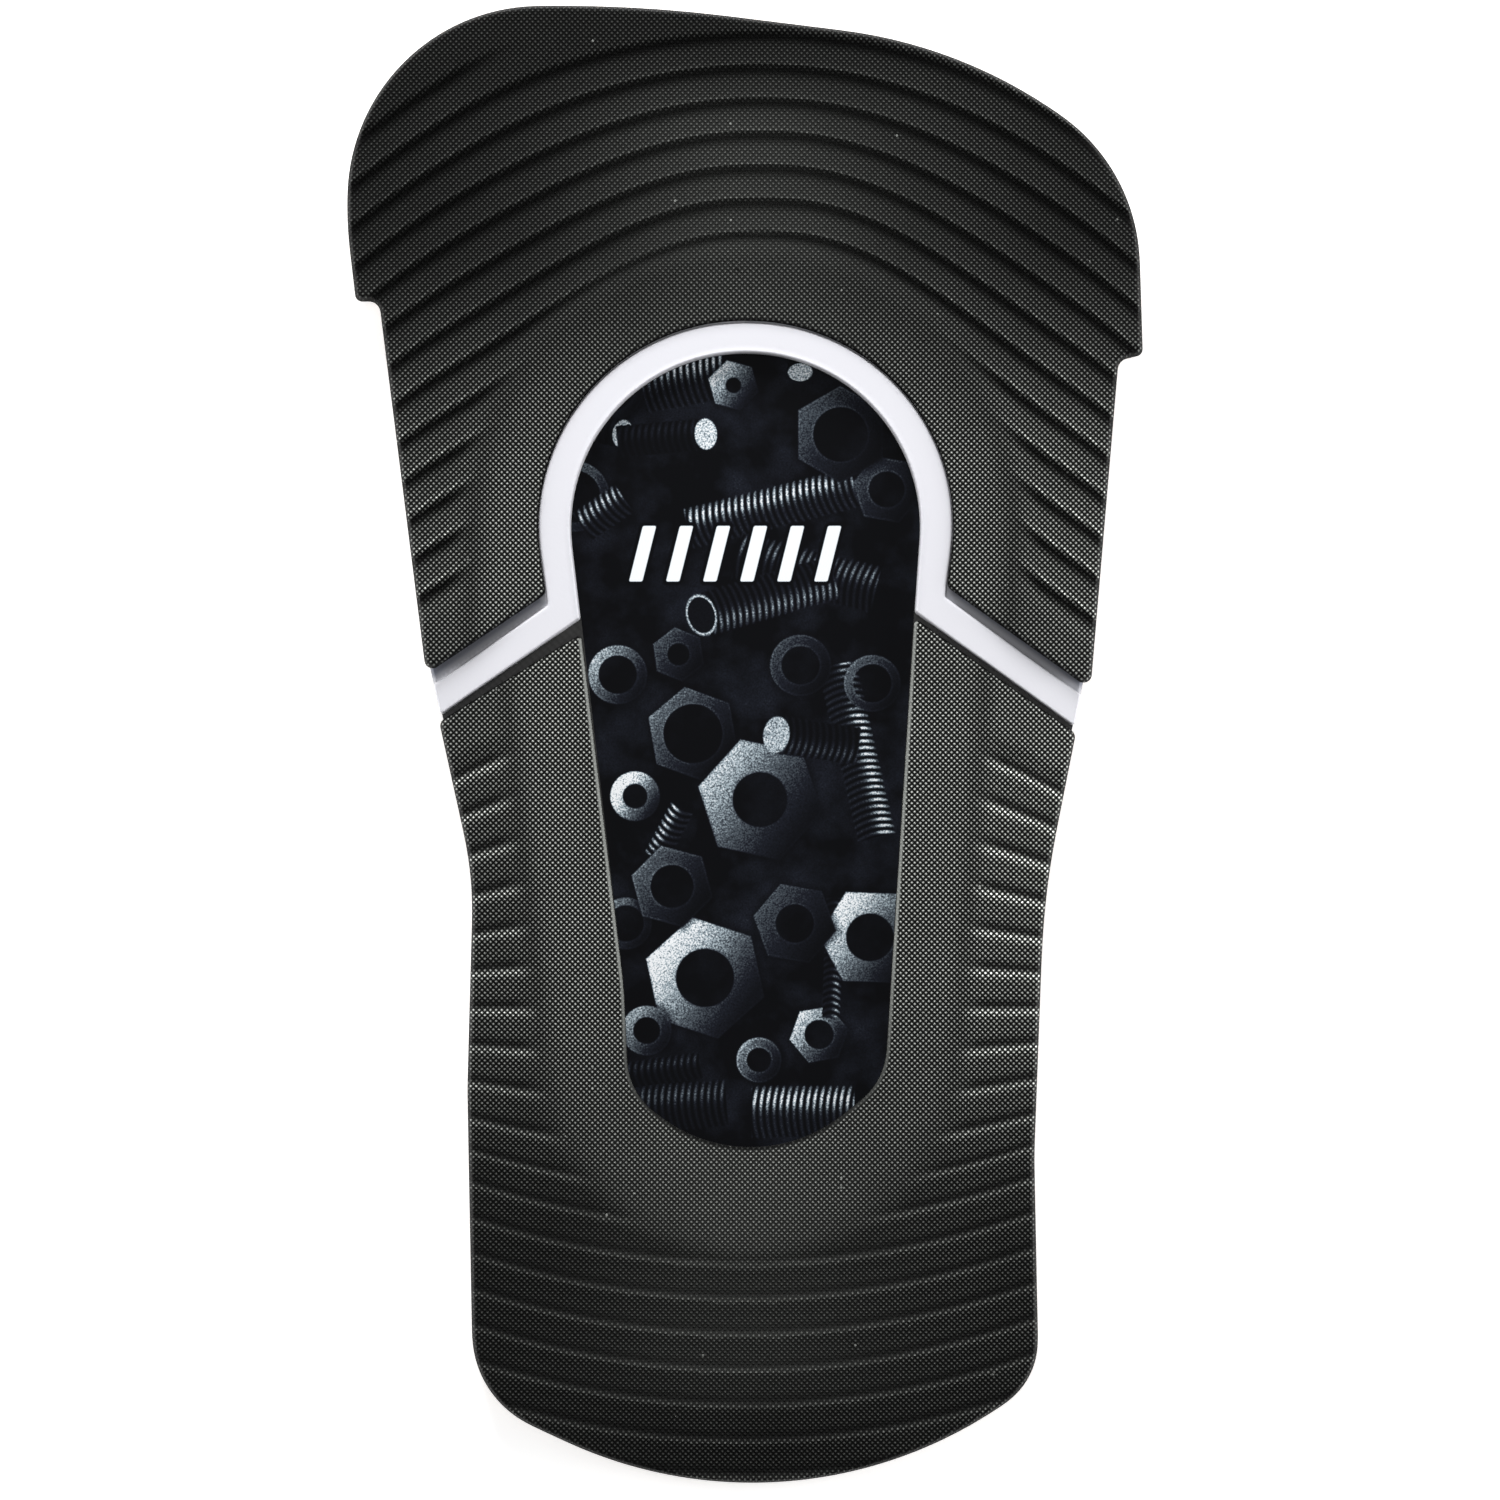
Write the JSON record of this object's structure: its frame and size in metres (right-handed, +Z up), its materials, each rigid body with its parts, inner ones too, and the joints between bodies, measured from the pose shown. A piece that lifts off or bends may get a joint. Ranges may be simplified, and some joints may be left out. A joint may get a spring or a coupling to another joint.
{
  "type": "snowboard foot pad",
  "caption": "Asymmetric foot-shaped traction pad: ribbed foam toe and heel pads on a laminated plate, white arched band round a keyhole window.",
  "frame": {"origin": "middle of the outline, on the underside of the base sheet", "axes": "+Y to the toe, +X to the right as seen from above, +Z up out of the pads"},
  "size_m": [0.1374, 0.2552, 0.0096],
  "materials": {
    "base_sheet": "satin black sheet, fine grain",
    "laminate": "resin and glass fibre, satin",
    "core_wood": "bare light wood",
    "insert_steel": "zinc plated",
    "print_film": "printed film, satin",
    "white_foam": "moulded white foam, satin",
    "black_foam": "moulded black foam with a fine diamond texture, matt"
  },
  "bodies": {
    "root": {"base_sheet": "base_sheet", "bottom_laminate": "laminate", "core": "core_wood", "top_laminate": "laminate", "threaded_inserts": "insert_steel", "print_sheet": "print_film", "midsole": "white_foam", "toe_pad": "black_foam", "heel_pad": "black_foam"}
  },
  "joints": []
}
